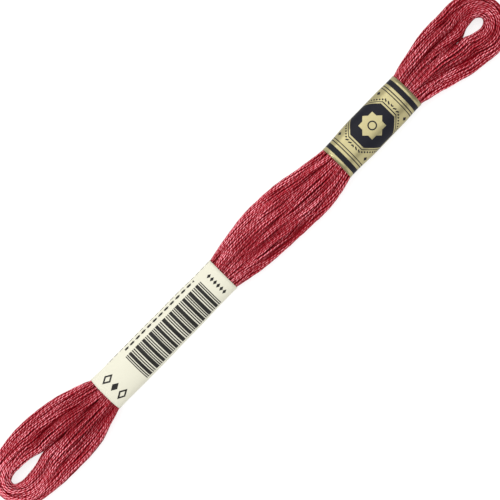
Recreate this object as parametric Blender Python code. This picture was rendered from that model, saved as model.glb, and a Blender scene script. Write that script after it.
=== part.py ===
"""A looped skein of stranded embroidery floss, drawn in by two paper bands.

The thread is wound into one long flat loop.  The two legs of the loop lie side by
side, a long and a short paper band draw them together, and the loop opens into a
small eye at each end.  X runs along the skein toward the short band, Y runs across
it, and the skein rests on Z = 0.  Tables and named sizes are in millimetres.
"""

import math
from collections import namedtuple

import bmesh
import bpy
import numpy as np

MM = 0.001

# The paper bands: where each starts and ends along the skein.
Band = namedtuple("Band", "name start end colour roughness metallic")
BANDS = (
    Band("long_band", -48.3, -8.45, (0.88, 0.86, 0.74), 0.55, 0.0),
    Band("short_band", 29.0, 53.0, (0.60, 0.49, 0.24), 0.35, 0.6),
)
BAND_WALL = 0.4
BAND_GAP = 0.32
BAND_STEPS_ROUND = 36
BAND_STEP_LENGTH = 4.2
SWELL_LENGTH = 1.7  # the floss swells back to its full size this far outside a band

FLOSS_COLOUR = (0.36, 0.035, 0.055)
FLOSS_ROUGHNESS = 0.6

# The outline from one tip arc to the other.  low and high are its edges in Y, mid is
# the line where the two legs meet, and height is the top above the table.
Section = namedtuple("Section", "x low mid high height")
OUTLINE = (
    Section(-74.9, -7.40, 0.71, 8.50, 4.4),
    Section(-71.0, -7.80, 0.75, 9.05, 4.2),
    Section(-66.4, -8.10, 0.80, 9.10, 4.1),
    Section(-62.5, -8.35, 0.70, 8.60, 4.2),
    Section(-59.3, -8.04, 0.55, 8.20, 4.4),
    Section(-55.7, -7.20, 0.35, 7.30, 4.8),
    Section(-52.2, -5.90, 0.15, 6.25, 5.3),
    Section(-48.3, -4.98, 0.00, 4.90, 5.9),
    Section(-38.0, -4.95, 0.00, 4.86, 6.0),
    Section(-20.0, -4.65, 0.05, 4.84, 5.9),
    Section(-8.45, -4.45, 0.10, 4.84, 5.8),
    Section(-4.7, -4.95, 0.20, 5.45, 5.4),
    Section(0.0, -5.83, 0.20, 6.30, 5.1),
    Section(5.0, -6.18, 0.20, 6.82, 4.9),
    Section(10.0, -6.32, 0.10, 6.86, 4.8),
    Section(15.0, -6.55, 0.00, 6.50, 4.9),
    Section(20.0, -6.75, -0.10, 5.55, 5.0),
    Section(24.5, -6.15, -0.20, 4.84, 5.3),
    Section(29.0, -5.10, -0.15, 4.36, 5.7),
    Section(38.0, -5.15, 0.00, 4.80, 6.0),
    Section(47.0, -5.00, 0.05, 4.92, 6.0),
    Section(53.0, -4.84, 0.05, 4.96, 5.8),
    Section(57.5, -5.60, 0.10, 5.84, 5.1),
    Section(62.0, -6.88, 0.00, 6.76, 4.6),
    Section(64.6, -7.45, -0.15, 7.25, 4.4),
    Section(66.8, -8.15, -0.30, 7.45, 4.3),
    Section(70.5, -8.65, -0.50, 7.56, 4.3),
    Section(75.2, -9.10, -0.55, 7.56, 4.6),
)
SECTION_POWER = 2.3  # a section is a superellipse of this power
UNDERSIDE_PRESS = 1.14  # how far the underside is pressed flat on the table

# The eye inside each loop is a teardrop: a cusp where the legs part, straight sides
# and a blunt half ellipse.  The loop's tip is a half ellipse around it.
Eye = namedtuple("Eye", "cusp_x cusp_y x y radius_x radius_y")
Tip = namedtuple("Tip", "x radius_x height")
EYES = {
    -1: Eye(-68.5, 0.80, -76.0, 0.71, 3.3, 1.28),
    1: Eye(71.4, -0.52, 75.8, -0.55, 2.2, 1.28),
}
TIPS = {-1: Tip(-74.9, 8.1, 4.8), 1: Tip(75.2, 7.8, 5.0)}
CUSP_SPLIT = 0.5  # how far the legs are rounded apart where the eye begins
VALLEY_LENGTH = 9.0  # the valley between the legs opens this far before the eye

# Grooves between the larger bundles of thread, on top of the skein.
Groove = namedtuple("Groove", "start bend end depth width")
GROOVES = (
    Groove((-75.4, 7.3), (-67.6, 7.2), (-58.0, 6.2), 0.35, 0.45),
    Groove((-65.0, 6.0), (-60.0, 5.2), (-48.6, 2.9), 0.50, 0.45),
    Groove((-70.5, 3.8), (-62.0, 3.8), (-48.6, 1.5), 0.70, 0.60),
    Groove((-66.0, -0.8), (-57.0, 0.1), (-48.6, -0.5), 0.60, 0.50),
    Groove((-75.4, -3.3), (-72.0, -2.6), (-67.0, -1.6), 0.45, 0.50),
    Groove((-71.1, -4.6), (-60.5, -4.1), (-48.6, -3.6), 0.50, 0.50),
    Groove((-2.4, 4.0), (10.0, 4.7), (24.5, 3.3), 0.35, 0.45),
    Groove((2.4, 2.2), (14.0, 2.4), (28.8, 1.2), 0.40, 0.45),
    Groove((-8.3, 0.9), (0.0, 1.0), (11.0, 0.0), 0.40, 0.45),
    Groove((-4.7, -0.5), (7.0, -1.7), (27.0, -2.3), 0.50, 0.45),
    Groove((-8.3, -2.9), (7.0, -5.0), (24.5, -4.3), 0.75, 0.60),
    Groove((62.0, 5.6), (70.0, 5.2), (76.5, 4.4), 0.40, 0.45),
    Groove((54.5, 2.3), (66.4, 2.7), (76.5, 2.9), 0.65, 0.55),
    Groove((61.0, 0.8), (66.5, 0.3), (71.4, -0.5), 0.55, 0.50),
    Groove((57.5, -2.4), (64.5, -3.5), (73.0, -6.6), 0.65, 0.55),
    Groove((54.5, -3.4), (61.0, -4.8), (67.0, -7.2), 0.45, 0.45),
)
GROOVE_SAMPLES = 40

# Low rolling ridges, laid along the thread all the way round the loop.
RIDGES_PER_LEG = 4
RIDGE_DEPTH = 0.38
RIDGE_WANDER = 0.9  # radians that a ridge drifts sideways
RIDGE_WANDER_WAVES = 7  # drifts in one turn of the loop

STEPS_ACROSS = 16  # points from the inner edge of a leg to its outer edge
STEP_LENGTH = 2.4
HIDDEN_STEP_LENGTH = 6.5
TIP_STEPS = 12
LEG_STEPS = 3

Station = namedtuple("Station", "inner outer bottom top split valley joint")


def remove_objects():
    for obj in list(bpy.data.objects):
        bpy.data.objects.remove(obj, do_unlink=True)


def blend(a, b, t):
    return a + (b - a) * t


def ease(t):
    t = min(1.0, max(0.0, t))
    return t * t * (3.0 - 2.0 * t)


def section_at(x):
    """The outline's section at x, on smooth curves through the table's rows."""
    rows = OUTLINE
    x = min(rows[-1].x, max(rows[0].x, x))
    i = 0
    while i < len(rows) - 2 and rows[i + 1].x < x:
        i += 1
    before, after = rows[i], rows[i + 1]
    span = after.x - before.x
    t = (x - before.x) / span
    first = rows[max(0, i - 1)]
    last = rows[min(len(rows) - 1, i + 2)]
    values = []
    for column in Section._fields[1:]:
        y0 = getattr(before, column)
        y1 = getattr(after, column)
        slope0 = (y1 - getattr(first, column)) / (after.x - first.x) * span
        slope1 = (getattr(last, column) - y0) / (last.x - before.x) * span
        values.append(
            (2 * t**3 - 3 * t**2 + 1) * y0
            + (t**3 - 2 * t**2 + t) * slope0
            + (3 * t**2 - 2 * t**3) * y1
            + (t**3 - t**2) * slope1
        )
    return Section(x, *values)


def squeeze_at(x):
    """How far the floss lies inside the outline: under a band, by its wall and gap."""
    away = min(max(band.start - x, x - band.end, 0.0) for band in BANDS)
    return (BAND_WALL + BAND_GAP) * (1.0 - ease(away / SWELL_LENGTH))


def groove_line(groove):
    t = np.linspace(0.0, 1.0, GROOVE_SAMPLES)[:, None]
    start, bend, end = (np.array(point) for point in groove[:3])
    control = 2.0 * bend - 0.5 * (start + end)
    return (1 - t) ** 2 * start + 2 * t * (1 - t) * control + t**2 * end


GROOVE_LINES = [(groove, groove_line(groove)) for groove in GROOVES]


def groove_depth(x, y):
    """The deepest groove at a place, with soft sides and tapering ends."""
    deepest = 0.0
    for groove, line in GROOVE_LINES:
        away = np.hypot(line[:, 0] - x, line[:, 1] - y)
        nearest = int(away.argmin())
        along = nearest / (GROOVE_SAMPLES - 1)
        taper = ease(4.0 * min(along, 1.0 - along) + 0.15)
        deepest = max(deepest, groove.depth * taper * math.exp(-((away[nearest] / groove.width) ** 2)))
    return deepest


def dome(w):
    return max(0.0, 1.0 - min(1.0, abs(w)) ** SECTION_POWER) ** (1.0 / SECTION_POWER)


def across(step, split):
    """Where a step lies between the inner edge (0) and the outer edge (1) of a leg."""
    turn = step / STEPS_ACROSS
    joined = math.sin(0.5 * math.pi * turn) ** 0.9
    parted = 0.5 - 0.5 * math.cos(math.pi * turn)
    return blend(joined, parted, split)


def fullness(u, split, valley):
    """The share of the full thickness at u: 1 on the crown, 0 at an edge."""
    crown = 0.5 * split
    outer = dome((u - crown) / (1.0 - crown)) if u > crown else 1.0
    inner = dome((crown - u) / crown) if u < crown else 1.0
    return outer * (1.0 - valley * (1.0 - inner))


def joined_positions():
    """X of the sections where the two legs touch, from one eye's cusp to the other's."""
    stops = [EYES[-1].cusp_x]
    for band in BANDS:
        stops += [band.start - SWELL_LENGTH, band.start - 0.5, band.start + 0.3]
        stops += [band.end - 0.3, band.end + 0.5, band.end + SWELL_LENGTH]
    stops.append(EYES[1].cusp_x)
    positions = []
    for start, end in zip(stops, stops[1:]):
        middle = 0.5 * (start + end)
        hidden = any(band.start < middle < band.end for band in BANDS)
        steps = max(1, round((end - start) / (HIDDEN_STEP_LENGTH if hidden else STEP_LENGTH)))
        positions += [blend(start, end, i / steps) for i in range(steps)]
    return positions + [stops[-1]]


def joined_station(x, side, number):
    """A section of one leg (side +1 is the high leg) where the legs touch."""
    section = section_at(x)
    squeeze = squeeze_at(x)
    to_cusp = min(x - EYES[-1].cusp_x, EYES[1].cusp_x - x)
    opening = ease(1.0 - to_cusp / VALLEY_LENGTH)
    edge = section.high - squeeze if side > 0 else section.low + squeeze
    return Station(
        inner=(x, section.mid),
        outer=(x, edge),
        bottom=squeeze,
        top=section.height - squeeze,
        split=CUSP_SPLIT * opening,
        valley=opening**2,
        joint=number,
    )


def parted_station(end, side, t):
    """A section of one leg beside an eye, t = 0 at the cusp and 1 at the tip."""
    eye = EYES[end]
    x_outer = blend(eye.cusp_x, TIPS[end].x, t)
    x_inner = blend(eye.cusp_x, eye.x, t)
    section = section_at(x_outer)
    edge = section.high if side > 0 else section.low
    side_of_eye = eye.radius_y * math.sin(0.5 * math.pi * t**0.9)
    return Station(
        inner=(x_inner, blend(eye.cusp_y, eye.y, t) + side * side_of_eye),
        outer=(x_outer, edge),
        bottom=0.0,
        top=section.height,
        split=blend(CUSP_SPLIT, 1.0, ease(t)),
        valley=1.0,
        joint=None,
    )


def tip_station(end, turn):
    """A section of the loop's tip; turn runs from the high leg (0) to the low leg (1)."""
    eye = EYES[end]
    tip = TIPS[end]
    section = section_at(tip.x)
    middle = 0.5 * (section.low + section.high)
    reach = 0.5 * (section.high - section.low)
    cos = math.cos(math.pi * turn)
    sin = math.sin(math.pi * turn)
    return Station(
        inner=(eye.x + end * eye.radius_x * sin, eye.y + eye.radius_y * cos),
        outer=(tip.x + end * tip.radius_x * sin, middle + reach * cos),
        bottom=0.0,
        top=blend(section.height, tip.height, sin),
        split=1.0,
        valley=1.0,
        joint=None,
    )


def stations():
    """Every section of the loop, in order: high leg, right end, low leg, left end."""
    positions = joined_positions()
    numbered = list(enumerate(positions))
    leg = [i / LEG_STEPS for i in range(1, LEG_STEPS)]
    tip = [i / TIP_STEPS for i in range(TIP_STEPS + 1)]
    loop = [joined_station(x, 1, i) for i, x in numbered]
    loop += [parted_station(1, 1, t) for t in leg]
    loop += [tip_station(1, t) for t in tip]
    loop += [parted_station(1, -1, t) for t in reversed(leg)]
    loop += [joined_station(x, -1, i) for i, x in reversed(numbered)]
    loop += [parted_station(-1, -1, t) for t in leg]
    loop += [tip_station(-1, t) for t in reversed(tip)]
    loop += [parted_station(-1, 1, t) for t in reversed(leg)]
    return loop


def ridge_depth(u, turn):
    drift = RIDGE_WANDER * math.sin(2.0 * math.pi * RIDGE_WANDER_WAVES * turn)
    wave = math.cos(2.0 * math.pi * RIDGES_PER_LEG * u + drift)
    return RIDGE_DEPTH * (0.5 - 0.5 * wave)


def skein_mesh():
    """One closed skin around the loop, with the legs joined along their middle line."""
    mesh = bmesh.new()
    known = {}
    loop = stations()
    last_joint = max(station.joint or 0 for station in loop)

    def point(number, step, upper):
        """The vertex of a section, shared where top, bottom or both legs meet."""
        station = loop[number]
        key = (number, step, upper)
        if step == STEPS_ACROSS:
            key = (number, "edge")
        elif step == 0 and station.joint is None:
            key = (number, "eye")
        elif step == 0 and station.joint in (0, last_joint):
            key = ("cusp", station.joint)
        elif step == 0:
            key = ("middle", station.joint, upper)
        if key in known:
            return known[key]
        u = across(step, station.split)
        x = blend(station.inner[0], station.outer[0], u)
        y = blend(station.inner[1], station.outer[1], u)
        full = fullness(u, station.split, station.valley)
        centre = 0.5 * (station.bottom + station.top)
        half = 0.5 * (station.top - station.bottom)
        if upper:
            relief = groove_depth(x, y) + ridge_depth(u, number / len(loop))
            z = centre + full * (half - min(relief, 0.5 * half))
        else:
            z = max(station.bottom, centre - UNDERSIDE_PRESS * half * full)
        known[key] = mesh.verts.new((x * MM, y * MM, z * MM))
        return known[key]

    for number in range(len(loop)):
        following = (number + 1) % len(loop)
        for step in range(STEPS_ACROSS):
            corners = ((number, step), (following, step), (following, step + 1), (number, step + 1))
            for upper in (True, False):
                ring = [point(n, s, upper) for n, s in corners]
                mesh.faces.new(ring if upper else ring[::-1])
    return mesh


def band_mesh(band):
    """An open paper sleeve on the outline; a Solidify modifier gives it its wall."""
    mesh = bmesh.new()
    steps = max(1, round((band.end - band.start) / BAND_STEP_LENGTH))
    rings = []
    for i in range(steps + 1):
        x = blend(band.start, band.end, i / steps)
        section = section_at(x)
        middle = 0.5 * (section.low + section.high)
        reach = 0.5 * (section.high - section.low)
        half = 0.5 * section.height
        ring = []
        for k in range(BAND_STEPS_ROUND):
            angle = 2.0 * math.pi * k / BAND_STEPS_ROUND
            cos = math.cos(angle)
            sin = math.sin(angle)
            y = middle + reach * math.copysign(abs(cos) ** (2.0 / SECTION_POWER), cos)
            z = half * math.copysign(abs(sin) ** (2.0 / SECTION_POWER), sin)
            z = half + (z if z > 0.0 else max(-half, UNDERSIDE_PRESS * z))
            ring.append(mesh.verts.new((x * MM, y * MM, z * MM)))
        rings.append(ring)
    for near, far in zip(rings, rings[1:]):
        for k in range(BAND_STEPS_ROUND):
            following = (k + 1) % BAND_STEPS_ROUND
            mesh.faces.new((near[k], near[following], far[following], far[k]))
    return mesh


def material(name, colour, roughness, metallic):
    made = bpy.data.materials.new(name)
    made.use_nodes = True
    made.diffuse_color = (*colour, 1.0)
    shader = made.node_tree.nodes["Principled BSDF"]
    shader.inputs["Base Color"].default_value = (*colour, 1.0)
    shader.inputs["Roughness"].default_value = roughness
    shader.inputs["Metallic"].default_value = metallic
    return made


def add_object(name, mesh, surface):
    data = bpy.data.meshes.new(name)
    bmesh.ops.recalc_face_normals(mesh, faces=mesh.faces)
    mesh.to_mesh(data)
    mesh.free()
    data.shade_smooth()
    data.materials.append(surface)
    obj = bpy.data.objects.new(name, data)
    bpy.context.scene.collection.objects.link(obj)
    return obj


def build_skein():
    surface = material("floss", FLOSS_COLOUR, FLOSS_ROUGHNESS, 0.0)
    return add_object("skein", skein_mesh(), surface)


def build_band(band):
    surface = material(band.name + "_paper", band.colour, band.roughness, band.metallic)
    obj = add_object(band.name, band_mesh(band), surface)
    wall = obj.modifiers.new("paper", "SOLIDIFY")
    wall.thickness = BAND_WALL * MM
    wall.offset = -1.0
    wall.use_even_offset = True
    return obj


def centre_on_origin(reference, objects):
    """Moves the meshes so that the reference's box is centred over the origin."""
    points = np.array([vertex.co[:] for vertex in reference.data.vertices])
    shift = -0.5 * (points.min(axis=0) + points.max(axis=0))
    for obj in objects:
        for vertex in obj.data.vertices:
            vertex.co.x += shift[0]
            vertex.co.y += shift[1]


remove_objects()
skein = build_skein()
bands = [build_band(band) for band in BANDS]
centre_on_origin(skein, [skein, *bands])
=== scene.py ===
"""A looped skein of six-strand embroidery floss with its two paper bands.

The floss is one thread of six strands, wound into a long flat loop of many turns.
Its strands are laid out section by section round the loop, pushed apart until they
rest side by side, and then swept as tubes.  Tables and named sizes are in millimetres.
"""

import math
from collections import namedtuple
from functools import reduce

import bpy
import numpy as np
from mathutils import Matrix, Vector


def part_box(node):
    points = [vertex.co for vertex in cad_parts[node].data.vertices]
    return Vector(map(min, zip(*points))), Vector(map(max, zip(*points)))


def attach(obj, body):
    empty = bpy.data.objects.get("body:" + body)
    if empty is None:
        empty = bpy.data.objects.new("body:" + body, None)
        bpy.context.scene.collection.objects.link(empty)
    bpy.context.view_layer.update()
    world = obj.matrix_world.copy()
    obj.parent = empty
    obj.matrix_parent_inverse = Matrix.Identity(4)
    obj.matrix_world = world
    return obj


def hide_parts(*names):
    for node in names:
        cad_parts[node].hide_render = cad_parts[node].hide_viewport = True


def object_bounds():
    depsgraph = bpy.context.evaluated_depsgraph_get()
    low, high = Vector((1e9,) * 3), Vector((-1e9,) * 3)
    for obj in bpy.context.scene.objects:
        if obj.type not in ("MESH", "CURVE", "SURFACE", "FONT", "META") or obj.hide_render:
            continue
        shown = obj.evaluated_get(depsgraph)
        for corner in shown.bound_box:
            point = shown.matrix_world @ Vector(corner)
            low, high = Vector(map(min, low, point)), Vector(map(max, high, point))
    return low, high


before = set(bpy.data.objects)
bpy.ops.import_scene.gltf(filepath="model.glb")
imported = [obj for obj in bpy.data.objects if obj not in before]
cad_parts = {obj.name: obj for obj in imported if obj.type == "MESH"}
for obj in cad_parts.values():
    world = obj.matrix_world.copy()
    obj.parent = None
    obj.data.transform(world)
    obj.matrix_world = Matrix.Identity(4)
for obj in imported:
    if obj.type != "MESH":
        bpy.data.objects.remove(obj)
cad_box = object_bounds()

MM = 0.001
TAU = 2.0 * math.pi


def table(columns, *rows):
    """Rows of numbers with named columns."""
    return tuple(columns(*row) for row in rows)


# ---------------------------------------------------------------- the skein's form

Section = namedtuple("Section", "x low mid high height")
OUTLINE = table(
    Section,
    (-74.9, -7.40, 0.71, 8.50, 4.4),
    (-71.0, -7.80, 0.75, 9.05, 4.2),
    (-66.4, -8.10, 0.80, 9.10, 4.1),
    (-62.5, -8.35, 0.70, 8.60, 4.2),
    (-59.3, -8.04, 0.55, 8.20, 4.4),
    (-55.7, -7.20, 0.35, 7.30, 4.8),
    (-52.2, -5.90, 0.15, 6.25, 5.3),
    (-48.3, -4.98, 0.00, 4.90, 5.9),
    (-38.0, -4.95, 0.00, 4.86, 6.0),
    (-20.0, -4.65, 0.05, 4.84, 5.9),
    (-8.45, -4.45, 0.10, 4.84, 5.8),
    (-4.7, -4.95, 0.20, 5.45, 5.4),
    (0.0, -5.83, 0.20, 6.30, 5.1),
    (5.0, -6.18, 0.20, 6.82, 4.9),
    (10.0, -6.32, 0.10, 6.86, 4.8),
    (15.0, -6.55, 0.00, 6.50, 4.9),
    (20.0, -6.75, -0.10, 5.55, 5.0),
    (24.5, -6.15, -0.20, 4.84, 5.3),
    (29.0, -5.10, -0.15, 4.36, 5.7),
    (38.0, -5.15, 0.00, 4.80, 6.0),
    (47.0, -5.00, 0.05, 4.92, 6.0),
    (53.0, -4.84, 0.05, 4.96, 5.8),
    (57.5, -5.60, 0.10, 5.84, 5.1),
    (62.0, -6.88, 0.00, 6.76, 4.6),
    (64.6, -7.45, -0.15, 7.25, 4.4),
    (66.8, -8.15, -0.30, 7.45, 4.3),
    (70.5, -8.65, -0.50, 7.56, 4.3),
    (75.2, -9.10, -0.55, 7.56, 4.6),
)
SECTION_POWER = 2.3  # a section is a superellipse of this power
SECTION_AREA = 0.83  # the share of its box that such a section fills
UNDERSIDE_PRESS = 1.14  # how far the underside is pressed flat on the table

Eye = namedtuple("Eye", "cusp_x cusp_y x y radius_x radius_y")
Tip = namedtuple("Tip", "x radius_x height")
EYES = {
    -1: Eye(-68.5, 0.80, -76.0, 0.71, 3.3, 1.28),
    1: Eye(71.4, -0.52, 75.8, -0.55, 2.2, 1.28),
}
TIPS = {-1: Tip(-74.9, 8.1, 4.8), 1: Tip(75.2, 7.8, 5.0)}
CUSP_SPLIT = 0.5  # how far the legs are rounded apart where the eye begins
EYE_FULLNESS = 0.9  # a power: below 1, the eye widens sooner from its pointed end
VALLEY_LENGTH = 9.0  # the valley between the legs opens this far before the eye

Groove = namedtuple("Groove", "start bend end depth width")
GROOVES = table(
    Groove,
    ((-75.4, 7.3), (-67.6, 7.2), (-58.0, 6.2), 1.05, 0.63),
    ((-65.0, 6.0), (-59.0, 5.0), (-45.0, 2.4), 1.50, 0.63),
    ((-70.5, 3.8), (-61.0, 3.6), (-45.0, 1.1), 2.10, 0.84),
    ((-66.0, -0.8), (-56.0, 0.1), (-45.0, -0.7), 1.80, 0.70),
    ((-75.4, -3.3), (-72.0, -2.6), (-67.0, -1.6), 1.35, 0.70),
    ((-71.1, -4.6), (-59.5, -4.1), (-45.0, -3.2), 1.50, 0.70),
    ((-2.4, 4.0), (10.0, 4.7), (24.5, 3.3), 1.05, 0.63),
    ((2.4, 2.2), (14.0, 2.4), (28.8, 1.2), 1.20, 0.63),
    ((-8.3, 0.9), (0.0, 1.0), (11.0, 0.0), 1.20, 0.63),
    ((-4.7, -0.5), (7.0, -1.7), (27.0, -2.3), 1.50, 0.63),
    ((-8.3, -2.9), (7.0, -4.8), (24.5, -4.1), 1.80, 0.56),
    ((62.0, 5.6), (70.0, 5.2), (76.5, 4.4), 1.20, 0.63),
    ((54.5, 2.3), (66.4, 2.7), (76.5, 2.9), 1.95, 0.77),
    ((61.0, 0.8), (66.5, 0.3), (71.4, -0.5), 1.65, 0.70),
    ((57.5, -2.4), (64.5, -3.5), (73.0, -6.6), 1.95, 0.77),
    ((54.5, -3.4), (61.0, -4.8), (67.0, -7.2), 1.35, 0.63),
)
GROOVE_SAMPLES = 40
GROOVE_TAPER = 0.25  # the share of its length, at either end, in which it deepens
GROOVE_START = 0.15  # how much of that deepening is done where it begins

# ---------------------------------------------------------------- the floss

SEED = 26
TURNS = 24
STRANDS = 6
ROW_STEP = 2.0  # between the sections at which the strands are laid out
TIP_ROWS = 9
LEG_ROWS = 3
STRAND_WIDTH = (0.48, 0.58)  # narrowest and widest, seen from above
STRAND_FLAT = 1.4  # a soft strand lies this many times as wide as it is tall
START_X = -28.0  # the thread's two ends lie under the long band
TURN_CHANGE = 0.045  # the last share of a turn, in which it moves over to the next one's place
WOUND_REACH = 0.93  # of half a leg's width: how far out the turns are wound
WANDER_REACH = 0.95  # and how far out they may drift
LAID_HEIGHT = 0.85  # of half the section's: how far up and down they are laid at first
THREAD_SWAY = 0.1  # how far all the threads of a leg turn about its middle together
SWAYS = (3, 5, 7, 11)  # how often they sway to and fro on the way round the loop
STRAND_LAY = 60.0  # length in which the strands turn once round their thread
STRAND_LOOSE = 0.46  # how far the strands lie from their thread's middle
STRAND_GAP = (0.945, 1.08)  # the room between strands of one thread, and of two

# A drift has the lengths of its slow waves, and its size.
THREAD_DRIFT = ((90.0, 140.0, 210.0), 0.13)  # across the leg, of half its width
LAY_DRIFT = ((90.0, 170.0), 0.22)  # of a turn of the strands round their thread
LOOSE_DRIFT = ((25.0, 60.0), 0.22)  # of how far the strands lie from its middle
SHIVER_DRIFT = ((3.1, 5.7, 9.3), 0.035)  # how unevenly a strand lies
WIDTH_DRIFT = ((7.0, 19.0, 41.0), 0.35)  # from the narrowest strand to the widest

# Settling has its rounds, a disc's radius, how closely the discs are packed, how stiff
# the thread is along its length, and how firmly a disc is held to where it was laid.
THREAD_SETTLING = {"rounds": 300, "radius": 0.5, "packing": 0.96, "stiffness": 0.8, "hold": 0.015}
STRAND_SETTLING = {"rounds": 160, "radius": 0.26, "packing": 0.97, "stiffness": 0.7, "hold": 0.012}
LAST_SMOOTHINGS = 4  # along the thread, in the last round
NEAR_ROUNDS = 8  # after which the nearest neighbours are found anew
NEIGHBOURS = 9
PUSH = 0.42  # of the way to a gap, in one round
HONEYCOMB = 0.866  # of a gap: how far apart the rows of a honeycomb of discs lie
LEG_OVERLAP = 1.6  # how far a strand may lie over on the other leg's side
LIFT_SPARED = 0.14  # of half the height: how much of a valley stays on the table
LEAST_FULL = 0.2  # of half the height, at a section's very edge
LEAST_ROOM = 0.05  # left to a strand between the highest and the lowest that it can lie

# How far the threads of a leg have turned about its middle, in order round the loop.
# As it grows, the threads on top slant over toward the inside of the leg.
Lean = namedtuple("Lean", "side x turn")
LEANS = table(
    Lean,
    (1, -8.0, 0.0),
    (1, 4.0, 0.0),
    (1, 12.0, 0.15),
    (1, 27.0, 0.5),
    (1, 54.0, 0.0),
    (1, 70.0, -0.05),
    (-1, 70.0, -0.05),
    (-1, 55.0, 0.55),
    (-1, 28.0, 0.0),
    (-1, 12.0, 0.0),
    (-1, -8.0, 0.75),
    (-1, -50.0, 0.45),
    (-1, -63.0, 0.4),
    (-1, -73.0, 0.0),
    (1, -70.0, 0.0),
    (1, -62.0, 0.2),
    (1, -50.0, 0.65),
)

PLY_PITCH = 2.1  # length in which a strand's two plies turn once
PLY_DRIFT = (0.13, 2.0)  # how often and how far the twist drifts along the strand
PLY_SLIP = (0.7, 1.5)
PLY_OFFSET = 0.42  # from the strand's middle to a ply's, of the strand's radius
PLY_RADIUS = 0.58
PLY_DEPTH = 0.08

SIDES = 8  # of a strand's tube
RINGS_SHOWN = 4  # rings to each step where a strand shows
SHOWN_SHARE = 0.25  # how openly a strand lies where it counts as showing
HIDDEN_SHARE = 0.2  # the room on the bake map for what doesn't show
STRIP_SPREAD = 0.93  # how many strips a strand's bake map has, of a square one's
STRIP_MARGIN = 0.3
STRIP_EDGE = 0.06
CAP_PLACE = (0.02, 0.5)  # of a strand's first end cap, in the bake map's last strip
CAP_SIZE = (0.01, 0.3)
CAP_STEP = 0.03  # from the first cap to the last

# ---------------------------------------------------------------- the paper bands

PAPER = 0.12  # thickness
PAPER_ROOM = 0.3  # how far the floss is held in under it
PAPER_REACH = 0.8  # the floss is still held in this far outside a band
BAND_LAP = 4.0
BAND_AROUND = 120  # steps round a band and its lap
BAND_STEP = 0.8
BAND_DENT = 0.04  # how far the paper dips here and there
DENT_FROM = 0.05  # height above the table at which it begins to dip
DENT_RISE = 1.2  # the height over which it comes to dip fully
BAND_STIFF = 1.6  # the paper doesn't follow the floss down over this length at its ends
LAP_SINK = 1.05 * PAPER  # how far in the lapped end lies, to clear the layer over it
RING_SAMPLES = 721  # of a band's section, before its steps are made even
MAP_FRONT = (0.01, 0.8)  # where the paper's outside lies on its bake map, from low to high
MAP_BACK = (0.82, 0.9)
MAP_RIMS = 0.92
MAP_MARGIN = 0.01
INK_EDGE = 0.07

# The long band's print.  A bar has its middle and its width.
BAR_CENTRE = -26.0
BAR_LENGTH = 25.0
BAR_REPEAT = 4.4
BARS = ((0.0, 1.0), (0.95, 0.3), (1.5, 0.3), (2.3, 0.85), (3.1, 0.3), (3.6, 0.3), (4.4, 1.0))
BAR_GIRTH = -1.0
BAR_HEIGHT = 7.6
Rule = namedtuple("Rule", "girth width length repeat dash")
RULES = table(
    Rule,
    (4.2, 0.6, 23.0, 1.9, 1.0),
    (4.2, 0.25, 23.0, 0.95, 0.6),
    (5.5, 0.35, 34.0, 1.7, 1.1),
)
MARK_X = -45.2
MARK_SIZE = 0.8
MARK_LINE = 0.48
MARK_STRETCH = 0.6
MARKS = ((2.1, "open"), (-0.4, "solid"), (-2.9, "open"))
DOT_X = -11.2
DOT_GIRTH = -0.4
DOT_REPEAT = 1.05
DOT_SIZE = 0.42
DOT_LENGTH = 6.3

# The short band's print.  A stripe, line, border or ring has its middle and its width.
EDGE_STRIPE = (1.7, 1.32)  # from the band's end
GOLD_LINES = ((3.2, 0.26), (3.9, 0.22))
PLATE_REACH = (5.6, 6.2)
PLATE_SLANT = 1.28  # shares of its reach at which the plate's slants and ends are cut
PLATE_END = 0.92
PLATE_BORDER = (0.55, 0.26)
STAR_SIZE = 2.35
STAR_RING = (0.42 * STAR_SIZE, 0.32)
CORNER_DOTS = (6.6, 4.6)
CORNER_DOT_SIZE = 0.55
BEAD_OFF = 1.35  # from the plate's edge
BEAD_REPEAT = 1.0
BEAD_SIZE = 0.38

# ---------------------------------------------------------------- colours and the stage


def shade(red, green, blue):
    """A colour from its values on the 0 to 255 display scale."""
    shares = (red / 255, green / 255, blue / 255)
    linear = [((c + 0.055) / 1.055) ** 2.4 if c > 0.04 else c / 12.92 for c in shares]
    return (*linear, 1.0)


# The lightest floss colour is a painted highlight on the plies' crests; the middle one is the dye.
FLOSS_PAINTED_HIGHLIGHT = shade(255, 156, 168)
FLOSS_MID = shade(179, 12, 37)
# The darkest floss colour is painted shade, in the ply valleys, on strand sides that face in and where
# strands lie enclosed.
FLOSS_PAINTED_SHADE = shade(114, 4, 16)
FLOSS_GLINT = shade(255, 214, 218)
FLOSS_GLOSS = 0.12
FLOSS_ROUGHNESS = 0.3
CREST_SHARE = 2.8  # how soon the painted highlight colour is reached on a ply's crest
STREAK_LENGTH = 12.0
# the length along a strand of the random painted glints in the crests' painted highlight
PAINTED_GLINT_LENGTH = 2.2
PATCH_SCALE = (110.0, 400.0, 400.0)  # per metre
OUTWARD_SHARE = 0.45  # of the slope sideways, in the way a strand faces out

# Soft patches of painted light and painted shade over the skein: the floss's colour is painted lighter
# where the amount is above nothing and darker where it is below.
PaintedPatch = namedtuple("PaintedPatch", "x y reach_x reach_y amount")
PAINTED_LIGHT_AND_SHADE_PATCHES = table(
    PaintedPatch,
    (-82.0, 2.0, 9.0, 10.0, 1.1),
    (-67.0, -4.0, 6.0, 2.5, 0.35),
    (-54.0, -1.0, 8.0, 4.5, -0.65),
    (-3.0, 0.0, 8.0, 3.0, -0.3),
    (11.0, 5.5, 12.0, 1.8, 0.45),
    (61.0, -3.5, 7.0, 4.5, 0.5),
    (75.0, 4.0, 6.0, 3.5, -0.35),
    (79.0, -4.0, 6.0, 3.5, -0.35),
)

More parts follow.
